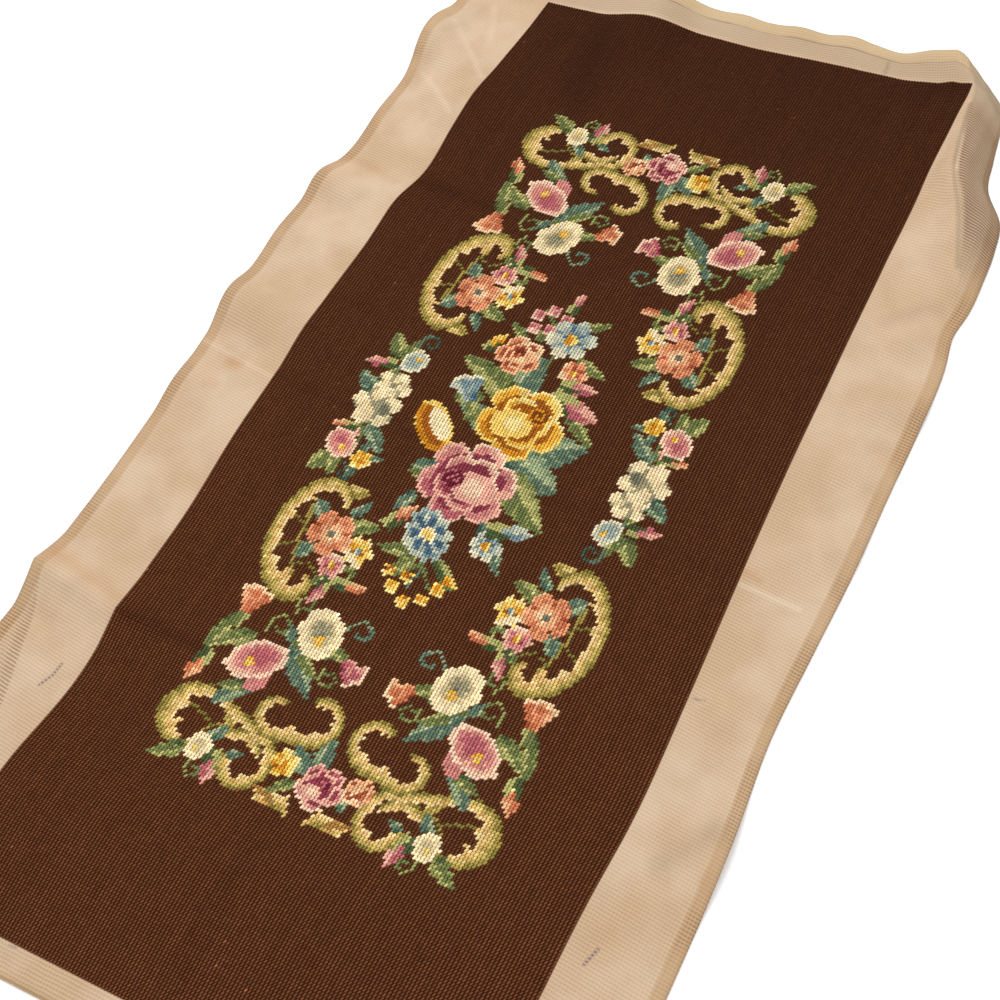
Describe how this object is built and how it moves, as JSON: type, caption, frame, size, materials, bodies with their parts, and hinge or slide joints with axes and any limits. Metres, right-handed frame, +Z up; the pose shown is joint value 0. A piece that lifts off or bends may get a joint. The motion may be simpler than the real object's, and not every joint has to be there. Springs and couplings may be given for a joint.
{
  "type": "needlepoint canvas panel",
  "caption": "Finished needlepoint canvas lying flat, with a stitched wool field of flowers and scrolls and bare canvas margins left round it.",
  "frame": {"origin": "centre of the panel's outline, on the surface that it lies on", "axes": "+X across the panel to its right side, +Y along its length to the hemmed far end, +Z up out of the stitched face"},
  "size_m": [0.5531, 1.0062, 0.0246],
  "materials": {
    "canvas": "matt cotton canvas, stitched over with matt wool"
  },
  "bodies": {
    "root": {"canvas_panel": "canvas"}
  },
  "joints": []
}
